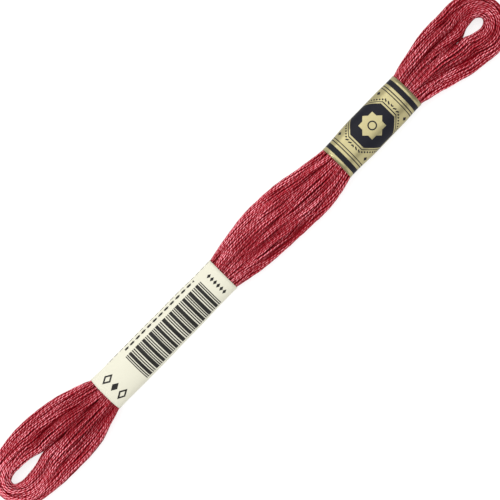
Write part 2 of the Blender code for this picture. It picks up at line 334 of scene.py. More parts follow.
PAPER_GLOSS = 0.2
CREAM_ROUGHNESS = 0.62
CREAM = shade(211, 209, 192)
CREAM_SHADED = shade(206, 203, 184)
INK = shade(13, 12, 11)
GOLD_ROUGHNESS = 0.26
GOLD = shade(166, 158, 119)
GOLD_SHADED = shade(148, 139, 102)
NAVY = shade(7, 8, 22)
WHITE = shade(255, 255, 255)

FLOOR_SHADED = shade(148, 148, 148)
FLOOR_LIT = shade(152, 152, 152)
FLOOR_ROUGHNESS = 0.9
FLOOR_SIDE = 4000.0
FLOOR_DROP = 0.02
FLOOR_GLOW = 0.75
WORLD_STRENGTH = 0.48
LAMP_DISTANCE = 0.9
Lamp = namedtuple("Lamp", "name toward size power")
LAMPS = table(
    Lamp,
    ("soft_box", (0.03, 0.3, 1.0), 1.25, 7.2),
    ("side_light", (-1.0, 0.5, 0.7), 0.25, 1.7),
    ("low_light_near", (0.0, -1.0, 0.45), 1.1, 3.1),
    ("low_light_far", (0.0, 1.0, 0.45), 1.1, 2.3),
)
LENS = 100.0
SENSOR = 36.0
VIEW_WIDTH = 118.55
VIEW_CENTRE = (0.0, -0.26)
VIEW_TURN = 45.13


def blend(a, b, t):
    """From a at 0 to b at 1."""
    return a + (b - a) * t


def ease(t):
    """From 0 to 1, level at both ends."""
    t = np.clip(t, 0.0, 1.0)
    return t * t * (3.0 - 2.0 * t)


def added_up(steps):
    """How far along each of a row of points lies, from the steps between them."""
    return np.concatenate([[0.0], np.cumsum(steps)])


def add_object(name, data):
    """An object of a mesh, curve, light or camera, in the scene."""
    made = bpy.data.objects.new(name, data)
    bpy.context.collection.objects.link(made)
    return made


def section_at(x):
    """The outline's section at x, on smooth curves through the table's rows."""
    rows = np.array(OUTLINE)
    x = float(min(rows[-1, 0], max(rows[0, 0], x)))
    i = max(1, min(len(rows) - 1, int(np.searchsorted(rows[:, 0], x)))) + np.arange(-2, 2)
    first, before, after, last = rows[np.clip(i, 0, len(rows) - 1)]
    span = after[0] - before[0]
    t = float((x - before[0]) / span)
    slope0 = (after - first) / (after[0] - first[0]) * span
    slope1 = (last - before) / (last[0] - before[0]) * span
    values = (2 * t**3 - 3 * t**2 + 1) * before
    values += (t**3 - 2 * t**2 + t) * slope0
    values += (3 * t**2 - 2 * t**3) * after
    values += (t**3 - t**2) * slope1
    return Section(x, *values[1:].tolist())


BAND_SPANS = {
    name: (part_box(name)[0][0] / MM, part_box(name)[1][0] / MM) for name in ("long_band", "short_band")
}


def under_paper(x):
    """Whether a band holds the floss in at x."""
    return any(low - PAPER_REACH < x < high + PAPER_REACH for low, high in BAND_SPANS.values())


# A row is one leg's section: its inner and outer edge, its height, and how far its
# inner side is rounded off.  Where the legs touch, two rows share one plane.
Row = namedtuple("Row", "inner outer base top split valley plane side")


def joined_row(x, side, plane):
    """One leg's row at x, where the two legs touch."""
    section = section_at(x)
    inset = PAPER_ROOM if under_paper(x) else 0.0
    to_cusp = min(x - EYES[-1].cusp_x, EYES[1].cusp_x - x)
    opening = float(ease(1.0 - to_cusp / VALLEY_LENGTH))
    edge = section.high - inset if side > 0 else section.low + inset
    inner, outer = (x, section.mid), (x, edge)
    top = section.height - inset
    return Row(inner, outer, 2.0 * inset, top, CUSP_SPLIT * opening, opening**2, plane, side)


def parted_row(end, side, t):
    """One leg's row beside an eye, from its pointed end at 0 to its round end at 1."""
    eye = EYES[end]
    x_outer = blend(eye.cusp_x, TIPS[end].x, t)
    x_inner = blend(eye.cusp_x, eye.x, t)
    section = section_at(x_outer)
    edge = section.high if side > 0 else section.low
    side_of_eye = eye.radius_y * math.sin(0.5 * math.pi * t**EYE_FULLNESS)
    inner = (x_inner, blend(eye.cusp_y, eye.y, t) + side * side_of_eye)
    split = blend(CUSP_SPLIT, 1.0, float(ease(t)))
    return Row(inner, (x_outer, edge), 0.0, section.height, split, 1.0, -1, side)


def tip_row(end, turn):
    """A row of the bend round an eye, from one leg at 0 to the other at 1."""
    eye = EYES[end]
    tip = TIPS[end]
    section = section_at(tip.x)
    middle = 0.5 * (section.low + section.high)
    reach = 0.5 * (section.high - section.low)
    cos = math.cos(math.pi * turn)
    sin = math.sin(math.pi * turn)
    inner = (eye.x + end * eye.radius_x * sin, eye.y + eye.radius_y * cos)
    outer = (tip.x + end * tip.radius_x * sin, middle + reach * cos)
    height = blend(section.height, tip.height, sin)
    return Row(inner, outer, 0.0, height, 1.0, 1.0, -1, 1 if turn < 0.5 else -1)


def loop_rows():
    """Every row round the loop, from the thread's end under the long band."""
    steps = round((EYES[1].cusp_x - EYES[-1].cusp_x) / ROW_STEP)
    positions = [blend(EYES[-1].cusp_x, EYES[1].cusp_x, i / steps) for i in range(steps + 1)]
    numbered = list(enumerate(positions))
    leg = [i / LEG_ROWS for i in range(1, LEG_ROWS)]
    tip = [i / TIP_ROWS for i in range(TIP_ROWS + 1)]
    loop = []
    for way in (1, -1):  # out along one leg and round its end, then back along the other
        loop += [joined_row(x, way, i) for i, x in numbered[::way]]
        loop += [parted_row(way, way, t) for t in leg]
        loop += [tip_row(way, t) for t in tip[::way]]
        loop += [parted_row(way, -way, t) for t in leg[::-1]]
    start = min(range(len(positions)), key=lambda i: abs(positions[i] - START_X))
    return loop[start:] + loop[:start]


def dome(w):
    """The height of a superellipse at each distance from its middle."""
    return np.maximum(0.0, 1.0 - np.minimum(1.0, np.abs(w)) ** SECTION_POWER) ** (1.0 / SECTION_POWER)


def groove_line(groove):
    """Points on the bent line that a groove follows."""
    t = np.linspace(0.0, 1.0, GROOVE_SAMPLES)[:, None]
    start, bend, end = (np.array(point) for point in groove[:3])
    control = 2.0 * bend - 0.5 * (start + end)
    return (1 - t) ** 2 * start + 2 * t * (1 - t) * control + t**2 * end


def groove_depths(x, y):
    """The deepest groove at each place of two arrays."""
    deepest = np.zeros_like(x)
    for groove in GROOVES:
        line = groove_line(groove)
        away = np.hypot(line[:, 0] - x[..., None], line[:, 1] - y[..., None])
        nearest = away.argmin(axis=-1)
        along = nearest / (GROOVE_SAMPLES - 1)
        taper = ease(np.minimum(along, 1.0 - along) / GROOVE_TAPER + GROOVE_START)
        aside = away.min(axis=-1) / groove.width
        deepest = np.maximum(deepest, groove.depth * taper * np.exp(-aside * aside))
    return deepest


class Planes:
    """Cross sections of the floss, in which its discs are kept inside and apart.

    Each plane has a middle, a reach to either side of it, a height, and a table of
    how far the top is let down by the grooves and by the valley before an eye.
    """

    SAMPLES = 96

    def __init__(self, mid, low, high, base, top, crown, valley, place):
        columns = [np.array(v, np.float32)[:, None] for v in (mid, low, high, base, top)]
        self.mid, self.low, self.high, self.base, self.top = columns
        self.half = 0.5 * self.top
        across = np.linspace(-1.0, 1.0, self.SAMPLES)[None, :]
        reach = np.where(across < 0.0, self.low, self.high)
        crown = crown[:, None] * reach
        y = self.mid + across * reach
        off = np.abs(y - self.mid)
        rounded = dome((crown - off) / np.maximum(crown, 1e-6))
        dip = np.where(off < crown, valley[:, None] * (1.0 - rounded), 0.0)
        self.dip = (dip * self.half + groove_depths(*place(y))).astype(np.float32)
        self.lift = (dip * self.half).astype(np.float32)
        lost = (dip * reach).mean(axis=1, keepdims=True) * self.top
        self.area = (SECTION_AREA * (self.low + self.high) * self.top - lost).astype(np.float32)

    def reach(self, y):
        """The plane's reach to the side that each disc is on."""
        return np.where(y < self.mid, self.low, self.high)

    def sample(self, samples, y):
        """The values at discs of a table that has samples across each plane."""
        across = (y - self.mid) / self.reach(y)
        at = np.clip(across * 0.5 + 0.5, 0.0, 1.0) * (self.SAMPLES - 1.001)
        cell = at.astype(np.int32)
        part = at - cell
        left = np.take_along_axis(samples, cell, axis=1)
        right = np.take_along_axis(samples, cell + 1, axis=1)
        return left + (right - left) * part

    def confine(self, y, z, radius):
        """Moves discs back inside the section, in place."""
        reach = self.reach(y) - radius
        rise = radius / STRAND_FLAT
        tall = np.where(z < self.half, UNDERSIDE_PRESS * self.half, self.half) - rise
        v = (y - self.mid) / reach
        w = (z - self.half) / tall
        level = (np.abs(v) ** SECTION_POWER + np.abs(w) ** SECTION_POWER) ** (1.0 / SECTION_POWER)
        shrink = 1.0 / np.maximum(level, 1.0)
        y[:] = self.mid + v * shrink * reach
        z[:] = self.half + w * shrink * tall
        lift = np.maximum(0.0, self.sample(self.lift, y) - LIFT_SPARED * self.half)
        floor = rise + self.base + lift
        full = np.maximum(dome((y - self.mid) / reach), LEAST_FULL)
        roof = self.half * (1.0 + full) - self.sample(self.dip, y) - rise
        z[:] = np.clip(z, floor, np.maximum(roof, floor + LEAST_ROOM))

    def settle(self, y, z, discs, radius, packing, renew):
        """Pushes discs apart once and back inside, in place."""
        if renew:
            gap = np.sqrt(self.area * STRAND_FLAT / (y.shape[1] * HONEYCOMB)) * packing
            self.near = nearest_discs(y, z)
            self.room = gap[:, :, None] * thread_gaps(self.near, discs)
        part_discs(y, z, self.room, self.near)
        self.confine(y, z, radius)


def part_discs(y, z, gap, near):
    """Pushes each disc off its nearest neighbours until they are a gap apart."""
    rows = np.arange(len(y))[:, None, None]
    dy = y[:, :, None] - y[rows, near]
    dz = (z[:, :, None] - z[rows, near]) * STRAND_FLAT
    away = np.sqrt(dy * dy + dz * dz) + 1e-6
    push = np.maximum(0.0, gap - away) / away * PUSH
    y += (dy * push).sum(axis=2)
    z += (dz * push).sum(axis=2) / STRAND_FLAT


def nearest_discs(y, z):
    """The nearest neighbours of each disc in its own plane."""
    found = np.empty((*y.shape, NEIGHBOURS), np.int32)
    for i in range(len(y)):
        away = (y[i][:, None] - y[i]) ** 2 + ((z[i][:, None] - z[i]) * STRAND_FLAT) ** 2
        np.fill_diagonal(away, np.inf)
        found[i] = np.argpartition(away, NEIGHBOURS, axis=1)[:, :NEIGHBOURS]
    return found


def thread_gaps(near, discs):
    """Strands of one thread lie closer together than strands of two."""
    if discs == TURNS:
        return 1.0
    own = np.arange(near.shape[1])[None, :, None]
    same = (near // discs == own // discs) & (near % TURNS == own % TURNS)
    return np.where(same, STRAND_GAP[0], STRAND_GAP[1]).astype(np.float32)


class Lay:
    """The floss as it lies: the rows round the loop and the planes they make."""

    def __init__(self):
        columns = [np.array(column, np.float32) for column in zip(*loop_rows())]
        self.inner, outer, base, self.top, self.split, self.valley, plane, self.side = columns
        self.count = len(plane)
        self.run = np.arange(TURNS * self.count) * ROW_STEP  # along a strand, end to end
        self.width = np.linalg.norm(outer - self.inner, axis=1)
        self.across = (outer - self.inner) / self.width[:, None]
        self.alone = np.flatnonzero(plane < 0)
        joined = np.flatnonzero(plane >= 0)
        joined = joined[np.argsort(plane[joined], kind="stable")]
        self.up, self.down = (joined[self.side[joined] == way] for way in (1, -1))
        x, mid = self.inner[self.up].T
        self.joined = Planes(
            mid,
            self.width[self.down],
            self.width[self.up],
            base[self.up],
            self.top[self.up],
            0.5 * self.split[self.up],
            self.valley[self.up],
            lambda y: (np.broadcast_to(x[:, None], y.shape), y),
        )
        inner, across, width = (v[self.alone] for v in (self.inner, self.across, self.width))
        centre = 0.5 * self.split[self.alone] * width
        self.parted = Planes(
            centre,
            centre,
            width - centre,
            base[self.alone],
            self.top[self.alone],
            0.0 * centre,
            0.0 * centre,
            lambda y: (inner[:, :1] + across[:, :1] * y, inner[:, 1:] + across[:, 1:] * y),
        )

    def side_by_side(self, a, z):
        """The discs of both legs in each plane where they touch, the upper leg's first."""
        mid = self.joined.mid
        y = np.concatenate([mid + a[:, self.up].T, mid - a[:, self.down].T], axis=1)
        return y, np.concatenate([z[:, self.up].T, z[:, self.down].T], axis=1)

    def relax(self, a, z, rounds, radius, packing, stiffness, hold):
        """Settles arrays of discs and rows side by side, smoothly along the thread."""
        a, z = a.astype(np.float32), z.astype(np.float32)
        rests = a.copy(), z.copy()
        discs = len(a)
        mid = self.joined.mid
        least = blend(-LEG_OVERLAP, radius, np.sqrt(self.valley[self.up])[:, None]).T
        for step in range(rounds):
            renew = step % NEAR_ROUNDS == 0
            y, t = self.side_by_side(a, z)
            self.joined.settle(y, t, discs, radius, packing, renew)
            a[:, self.up] = np.maximum((y[:, :discs] - mid).T, least)
            a[:, self.down] = np.maximum((mid - y[:, discs:]).T, least)
            z[:, self.up], z[:, self.down] = t[:, :discs].T, t[:, discs:].T
            y, t = (np.ascontiguousarray(value[:, self.alone].T) for value in (a, z))
            self.parted.settle(y, t, discs, radius, packing, renew)
            a[:, self.alone], z[:, self.alone] = y.T, t.T
            for value, rest in zip((a, z), rests):
                for _ in range(LAST_SMOOTHINGS if step == rounds - 1 else 1):
                    off = self.along(value - rest)
                    smooth = off.copy()
                    smooth[:, 1:-1] += stiffness * (0.5 * (off[:, :-2] + off[:, 2:]) - off[:, 1:-1])
                    value[:] = rest + smooth.reshape(value.shape) * (1.0 - hold)
        return a, z

    def along(self, value):
        """From one row to each turn of each strand to one row to each strand, end to end."""
        return value.reshape(len(value) // TURNS, TURNS * self.count)

    def place(self, p, q):
        """Discs from the unit circle into every row's own section."""
        flat = ease(0.5 - 0.5 * p) * (1.0 - self.split)
        square = np.hypot(p, q) / np.maximum(np.maximum(np.abs(p), np.abs(q)), 1e-6)
        tall = np.clip(blend(q / np.sqrt(np.maximum(1.0 - p * p, 0.05)), q * square, flat), -1.0, 1.0)
        u = np.clip(0.5 * blend(p, p * square, flat) + 0.5, 0.0, 1.0)
        crown = 0.5 * self.split
        outer = dome((u - crown) / (1.0 - crown))
        inner = dome((crown - u) / np.maximum(crown, 1e-6))
        full = np.where(u > crown, outer, np.where(crown > 0, 1.0 - self.valley * (1.0 - inner), 1.0))
        return u * self.width, 0.5 * self.top * (1.0 + LAID_HEIGHT * full * tall)


def drifts(rng, lines, s, lengths, size):
    """Smooth random curves at the distances s along lines, sums of a few slow waves."""
    total = np.zeros((lines, len(s)))
    for length in lengths:
        phase = rng.uniform(0.0, TAU, (lines, 1))
        stretch = rng.uniform(0.8, 1.25, (lines, 1))
        total += np.sin(TAU * s / (length * stretch) + phase)
    return total * size / math.sqrt(len(lengths))


def wound_places():
    """Where each turn lies in the unit circle, each near the one before it."""
    i = np.arange(TURNS)
    radius = WOUND_REACH * np.sqrt((i + 0.5) / TURNS)
    angle = i * math.pi * (3.0 - math.sqrt(5.0))
    spots = list(np.stack([radius * np.cos(angle), radius * np.sin(angle)], axis=1))
    order = [min(spots, key=lambda spot: spot[1])]
    spots = [spot for spot in spots if spot is not order[0]]
    while spots:
        nearest = min(range(len(spots)), key=lambda n: np.hypot(*(spots[n] - order[-1])))
        order.append(spots.pop(nearest))
    return np.array(order)


def leaning(lay):
    """How far the threads have turned about the leg's middle at every row."""
    places = lay.inner[:, 0] + 0.5 * lay.width * lay.across[:, 0]
    known = []
    for lean in LEANS:
        off = np.where(lay.side == lean.side, np.abs(places - lean.x), np.inf)
        known.append((int(off.argmin()), lean.turn))
    rows, turns = zip(*sorted(known))
    turn = np.interp(np.arange(lay.count), rows, turns, period=lay.count)
    for _ in range(3):
        turn = (np.roll(turn, 1) + 2.0 * turn + np.roll(turn, -1)) / 4.0
    return turn


def lay_threads(lay, rng):
    """Centre lines of the thread: one row of sections for each turn."""
    spots = wound_places()
    following = np.vstack([spots[1:], spots[-1:]])
    change = ease((np.arange(lay.count) / lay.count - 1.0 + TURN_CHANGE) / TURN_CHANGE)[None, :, None]
    path = spots[:, None] + (following - spots)[:, None] * change
    round_loop = np.arange(lay.count) / lay.count * TAU
    sways = (np.sin(n * round_loop + rng.uniform(0.0, TAU)) / math.sqrt(n) for n in SWAYS)
    sway = sum(sways) * THREAD_SWAY + leaning(lay)
    wander = drifts(rng, 2, lay.run, *THREAD_DRIFT)
    p = path[..., 0] * np.cos(sway) - path[..., 1] * np.sin(sway) + wander[0].reshape(TURNS, lay.count)
    q = path[..., 0] * np.sin(sway) + path[..., 1] * np.cos(sway) + wander[1].reshape(TURNS, lay.count)
    far = np.maximum(np.hypot(p, q) / WANDER_REACH, 1.0)
    a, z = lay.place(p / far, q / far)
    return lay.relax(a, z, **THREAD_SETTLING)


def lay_strands(lay, rng, thread_a, thread_z):
    """The six strands of the thread, turned slowly round it and settled apart."""
    turn = lay.run / STRAND_LAY + drifts(rng, 1, lay.run, *LAY_DRIFT)[0]
    loose = STRAND_LOOSE * (1.0 + drifts(rng, STRANDS, lay.run, *LOOSE_DRIFT))
    angle = TAU * (turn[None, :] + np.arange(STRANDS)[:, None] / STRANDS)
    shape = (STRANDS * TURNS, lay.count)
    aside = (loose * np.cos(angle)).reshape(shape)
    above = (loose / STRAND_FLAT * np.sin(angle)).reshape(shape)
    a = np.tile(thread_a, (STRANDS, 1)) + aside
    z = np.tile(thread_z, (STRANDS, 1)) + above
    return lay.relax(a, z, **STRAND_SETTLING)


def exposed(lay, a, z):
    """How openly every strand lies at every row: 0 inside, 1 on top with all to see."""
    shown = np.zeros(a.shape)
    seen = np.array([ways_out(*plane) for plane in zip(*lay.side_by_side(a, z))]).T
    shown[:, lay.up], shown[:, lay.down] = np.split(seen, 2)
    for k in lay.alone:
        shown[:, k] = ways_out(a[:, k], z[:, k])
    return shown


def outward(lay, a, z):
    """The way out of the floss from every strand, at every row."""
    other = lay.width.copy()
    other[lay.up] = lay.width[lay.down]
    other[lay.down] = lay.width[lay.up]
    middle = 0.5 * blend(lay.width - other, lay.width, lay.valley)
    reach = 0.5 * blend(lay.width + other, lay.width, lay.valley)
    half = 0.5 * lay.top
    sideways = OUTWARD_SHARE * (a - middle) / reach**2
    upward = (z - half) / half**2
    return np.concatenate([sideways[..., None] * lay.across, upward[..., None]], axis=2)


def ways_out(y, z, ways=32, sight=0.12, ahead=0.05):
    """How many straight ways out are free, of those that are on a level top."""
    free = np.zeros(len(y))
    for angle in np.arange(ways) * TAU / ways:
        along = y * math.cos(angle) + z * math.sin(angle)
        aside = z * math.cos(angle) - y * math.sin(angle)
        blocked = (np.abs(aside[:, None] - aside) < sight) & (along > along[:, None] + ahead)
        free += ~blocked.any(axis=1)
    return free / (0.5 * ways)


# ---------------------------------------------------------------- nodes


def infix(operation):
    """An operator of Val that adds a maths node."""
    return lambda value, other: value.math(operation, other)


class Val:
    """A node's output, which can be used in sums."""

    def __init__(self, owner, socket):
        self.owner = owner
        self.socket = socket

    def math(self, operation, *others):
        return self.owner.node("ShaderNodeMath", {"operation": operation}, self, *others)

    __add__ = __radd__ = infix("ADD")
    __sub__ = infix("SUBTRACT")
    __mul__ = __rmul__ = infix("MULTIPLY")
    __truediv__ = infix("DIVIDE")
    __mod__ = infix("FLOORED_MODULO")

    def __rsub__(self, other):
        return self.owner.node("ShaderNodeMath", {"operation": "SUBTRACT"}, other, self)

    def __neg__(self):
        return self.math("MULTIPLY", -1.0)

    def __abs__(self):
        return self.math("ABSOLUTE")


class Nodes:
    """A node tree, written from its inputs to its output."""

    def __init__(self, tree):
        self.tree = tree

    def plug(self, value, socket):
        if isinstance(value, Val):
            self.tree.links.new(value.socket, socket)
        else:
            socket.default_value = value

    def node(self, kind, settings=None, *values, **sockets):
        """A node with its settings, the values of its inputs in order, and those by name."""
        node = self.tree.nodes.new(kind)
        for key, value in (settings or {}).items():
            setattr(node, key, value)
        for value, socket in zip(values, (s for s in node.inputs if s.enabled)):
            self.plug(value, socket)
        for key, value in sockets.items():
            self.plug(value, node.inputs[key.replace("_", " ")])
        return Val(self, next(output for output in node.outputs if output.enabled))


class Shader(Nodes):
    """One material's nodes."""

    def __init__(self, name, roughness, **constants):
        self.material = bpy.data.materials.new(name)
        self.material.use_nodes = True
        super().__init__(self.material.node_tree)
        self.surface = next(n for n in self.tree.nodes if n.type == "BSDF_PRINCIPLED")
        self.set("Roughness", roughness)
        for key, value in constants.items():
            self.set(key.replace("_", " "), value)

    def set(self, name, value):
        self.plug(value, self.surface.inputs[name])

    def output(self, value, name):
        return Val(self, value.socket.node.outputs[name])

    def split(self, vector):
        """A vector's first two numbers."""
        parts = self.node("ShaderNodeSeparateXYZ", None, vector)
        return self.output(parts, "X"), self.output(parts, "Y")

    def map(self, name):
        return self.split(self.node("ShaderNodeUVMap", {"uv_map": name}))

    def place(self):
        return self.output(self.node("ShaderNodeTexCoord"), "Object")

    def vector(self, x, y, z):
        return self.node("ShaderNodeCombineXYZ", None, x, y, z)

    def noise(self, vector, scale, detail=2.0, rough=0.5):
        values = {"Vector": vector, "Scale": scale, "Detail": detail, "Roughness": rough}
        return self.node("ShaderNodeTexNoise", **values)

    def wave(self, run, seed, detail=1.0, rough=0.5):
        """Noise along a line, another one for each seed."""
        return self.noise(self.vector(run, seed, 0.0), 1.0, detail, rough)

    def mix(self, factor, a, b):
        return self.node("ShaderNodeMix", {"data_type": "RGBA"}, factor, a, b)

    def bump(self, height, distance, strength=1.0):
        return self.node("ShaderNodeBump", None, Strength=strength, Distance=distance, Height=height)


# ---------------------------------------------------------------- strands as tubes


def smooth_path(points, at):
    """Points on a smooth curve through evenly numbered points, at any numbers between."""
    last = len(points) - 1
    i = np.minimum(at.astype(int), last - 1)
    t = (at - i)[:, None]
    p0, p1, p2, p3 = (points[np.clip(i + n, 0, last)] for n in (-1, 0, 1, 2))
    square = (2.0 * p0 - 5.0 * p1 + 4.0 * p2 - p3) * t**2
    cube = (3.0 * p1 - p0 - 3.0 * p2 + p3) * t**3
    return 0.5 * (2.0 * p1 + (p2 - p0) * t + square + cube)


def strand_points(lay, a, z):
    """The points of every strand, from end to end through all the turns."""
    flat = lay.inner[None] + a[..., None] * lay.across[None]
    return np.concatenate([flat, z[..., None]], axis=2).reshape(STRANDS, -1, 3).astype(float)


def strand_steps(seen):
    """Where a strand gets its rings: close together where it shows, far apart inside."""
    shown = seen > SHOWN_SHARE
    near = shown.copy()
    near[1:] |= shown[:-1]
    near[:-1] |= shown[1:]
    ends = near[:-1] | near[1:]
    steps = np.where(ends, RINGS_SHOWN, 1)
    at = [k + np.arange(n) / n for k, n in enumerate(steps)]
    return np.append(np.concatenate(at), float(len(steps)))


def strand_curve(name, points, thickness):
    """A curve through the points, with each one's thickness."""
    curve = bpy.data.curves.new(name, "CURVE")
    curve.dimensions = "3D"
    curve.twist_mode = "MINIMUM"
    spline = curve.splines.new("POLY")
    spline.points.add(len(points) - 1)
    spline.points.foreach_set("co", np.column_stack([points * MM, np.ones(len(points))]).ravel())
    spline.points.foreach_set("radius", thickness * 0.5)
    return add_object(name, curve)


def sweep_tree():
    """Sweeps a round section along a curve, as thick at each point as its radius says.

    Returns the tree and the identifiers of its named inputs.
    """
    nodes = Nodes(bpy.data.node_groups.new("swept strand", "GeometryNodeTree"))
    kinds = {"Geometry": "Geometry", "Sides": "Int", "Scale": "Float", "Material": "Material"}
    socket = nodes.tree.interface.new_socket
    inputs = {
        name: socket(name, in_out="INPUT", socket_type="NodeSocket" + kind).identifier
        for name, kind in kinds.items()
    }
    socket("Geometry", in_out="OUTPUT", socket_type="NodeSocketGeometry")
    start = nodes.tree.nodes.new("NodeGroupInput")
    curve, sides, scale, material = (Val(nodes, start.outputs[name]) for name in kinds)
    circle = {"Resolution": sides, "Radius": scale}
    ring = nodes.node("GeometryNodeCurvePrimitiveCircle", {"mode": "RADIUS"}, **circle)
    radius = nodes.node("GeometryNodeInputRadius")
    sweep = {"Curve": curve, "Profile Curve": ring, "Scale": radius, "Fill Caps": True}
    tube = nodes.node("GeometryNodeCurveToMesh", **sweep)
    smooth = nodes.node("GeometryNodeSetShadeSmooth", Geometry=tube)
    whole = nodes.node("GeometryNodeRealizeInstances", Geometry=smooth)
    painted = nodes.node("GeometryNodeSetMaterial", Geometry=whole, Material=material)
    nodes.plug(painted, nodes.tree.nodes.new("NodeGroupOutput").inputs[0])
    return nodes.tree, inputs


def swept(sweep, curve_object, name, values):
    """The plain mesh object that a tree makes of a curve."""
    tree, inputs = sweep
    modifier = curve_object.modifiers.new(name, "NODES")
    modifier.node_group = tree
    for key, value in values.items():
        modifier[inputs[key]] = value
    graph = bpy.context.evaluated_depsgraph_get()
    mesh = bpy.data.meshes.new_from_object(curve_object.evaluated_get(graph))
    mesh.name = name
    curve = curve_object.data
    bpy.data.objects.remove(curve_object)
    bpy.data.curves.remove(curve)
    return add_object(name, mesh)


def numbers(items, key, kind=np.int32, each=1):
    """One attribute of all of a mesh's points, corners or faces."""
    values = np.empty(len(items) * each, kind)
    items.foreach_get(key, values)
    return values


def mesh_corners(mesh):
    """The point at every corner of a mesh, and each face's first corner and their number."""
    starts = numbers(mesh.polygons, "loop_start")
    return numbers(mesh.loops, "vertex_index"), starts, numbers(mesh.polygons, "loop_total")


def corner_rings(mesh):
    """For every corner of a swept mesh: its ring, its place round it, and if it is an end cap."""
    corners, starts, totals = mesh_corners(mesh)
    face = np.repeat(np.arange(len(totals)), totals)
    ring, side = corners // SIDES, corners % SIDES
    top = np.maximum.reduceat(side, starts)[face]
    bottom = np.minimum.reduceat(side, starts)[face]
    first = np.minimum.reduceat(ring, starts)[face]
    cap = (totals > 4)[face]
    side = np.where((bottom == 0) & (top == SIDES - 1) & (side == 0) & ~cap, SIDES, side)
    return ring, side / SIDES, first, cap


def write_map(mesh, name, u, v):
    """A UV map with one value of u and v for every corner."""
    layer = mesh.uv_layers.new(name=name)
    layer.data.foreach_set("uv", np.column_stack([u, v]).astype(np.float32).ravel())


def unit(vectors):
    """Vectors in rows, each made one long."""
    return vectors / np.linalg.norm(vectors, axis=1, keepdims=True)


def flatten(mesh, ways):
    """Presses every ring of a swept strand down about its middle.

    Returns how far round its ring each point lies from the side that faces out.
    """
    rings = numbers(mesh.vertices, "co", np.float32, 3).reshape(-1, SIDES, 3)
    middle = rings.mean(axis=1, keepdims=True)
    offset = rings - middle
    along = np.gradient(middle[:, 0], axis=0)
    side = unit(np.cross(ways, along))
    out = unit(np.cross(along, side))
    aside, outside = ((offset * way[:, None]).sum(axis=2) for way in (side, out))
    turn = np.arctan2(aside, outside) / TAU
    rings[..., 2] = middle[..., 2] + offset[..., 2] / STRAND_FLAT
    mesh.vertices.foreach_set("co", rings.ravel())
    return turn.ravel()


def strand_map(mesh, run, turn, painted_shade_openness):
    """Maps of the distance along a strand with the turn off the way out, and of openness, from which the
    material paints shade on enclosed strands and sides that face in, and highlights on top.
    """
    corners, starts, totals = mesh_corners(mesh)
    turn = turn[corners]
    turn -= np.round(turn - np.repeat(turn[starts], totals))
    ring = corners // SIDES
    write_map(mesh, "strand", run[ring], turn)
    write_map(mesh, "lie", painted_shade_openness[ring], painted_shade_openness[ring])


def strip_map(mesh, run, weight):
    """Lays a strand's skin out in even strips, one above the other, with no overlap."""
    ring, turn, first, cap = corner_rings(mesh)
    room = added_up(np.diff(run) * weight)
    length = room[-1]
    step = np.diff(room).max()
    skin = TAU * 0.5 * STRAND_WIDTH[1]
    strips = math.ceil(math.sqrt(length / skin) * STRIP_SPREAD)
    each = length / strips
    strip = np.minimum(room[first] // each, strips - 1)
    u = (room[ring] - strip * each + 0.5 * STRIP_MARGIN) / (each + step + STRIP_MARGIN)
    v = (strip + blend(STRIP_EDGE, 1.0 - STRIP_EDGE, turn)) / (strips + 1)
    cap_u = CAP_PLACE[0] + CAP_SIZE[0] * np.cos(TAU * turn) + CAP_STEP * (ring > 0)
    cap_v = (strips + CAP_PLACE[1] + CAP_SIZE[1] * np.sin(TAU * turn)) / (strips + 1)
    write_map(mesh, "OFBake", np.where(cap, cap_u, u), np.where(cap, cap_v, v))


def build_strand(name, points, seen, ways, sweep, material, rng):
    """One strand, from its points, how openly it lies and the way out at each of them."""
    given = np.arange(len(seen))
    at = strand_steps(seen)
    path = smooth_path(points, at)
    run = added_up(np.linalg.norm(np.diff(path, axis=0), axis=1))
    shiver = drifts(rng, 2, run, *SHIVER_DRIFT)
    path[:, 0] += 0.4 * shiver[0]
    path[:, 1] += shiver[0]
    path[:, 2] = np.maximum(path[:, 2] + shiver[1], 0.5 * STRAND_WIDTH[1] / STRAND_FLAT)
    thickness = blend(*STRAND_WIDTH, 0.5 + drifts(rng, 1, run, *WIDTH_DRIFT)[0])
    curve = strand_curve(name + "_path", path, np.clip(thickness, *STRAND_WIDTH))
    piece = swept(sweep, curve, name, {"Sides": SIDES, "Scale": MM, "Material": material})
    turn = flatten(piece.data, np.stack([np.interp(at, given, way) for way in ways.T], axis=1))
    # how openly the strand lies, smoothed along it, for the painted shade where it lies enclosed
    painted_shade_openness = np.interp(at, given, np.convolve(seen, (0.25, 0.5, 0.25), "same"))
    strand_map(piece.data, run + rng.uniform(0.0, 400.0), turn, painted_shade_openness)
    hidden = np.interp(0.5 * (at[1:] + at[:-1]), given, seen > 0.0) < 0.01
    strip_map(piece.data, run, np.where(hidden, HIDDEN_SHARE, 1.0))
    return piece


def build_floss(material):
    """The six strands of the thread, each from end to end round all the turns."""
    rng = np.random.default_rng(SEED)
    lay = Lay()
    a, z = lay_strands(lay, rng, *lay_threads(lay, rng))
    points = strand_points(lay, a, z)
    seen = exposed(lay, a, z).reshape(STRANDS, -1)
    ways = outward(lay, a, z).reshape(STRANDS, -1, 3)
    sweep = sweep_tree()
    return [
        build_strand(f"floss_strand_{number + 1}", *strand, sweep, material, rng)
        for number, strand in enumerate(zip(points, seen, ways))
    ]


# ---------------------------------------------------------------- the paper bands


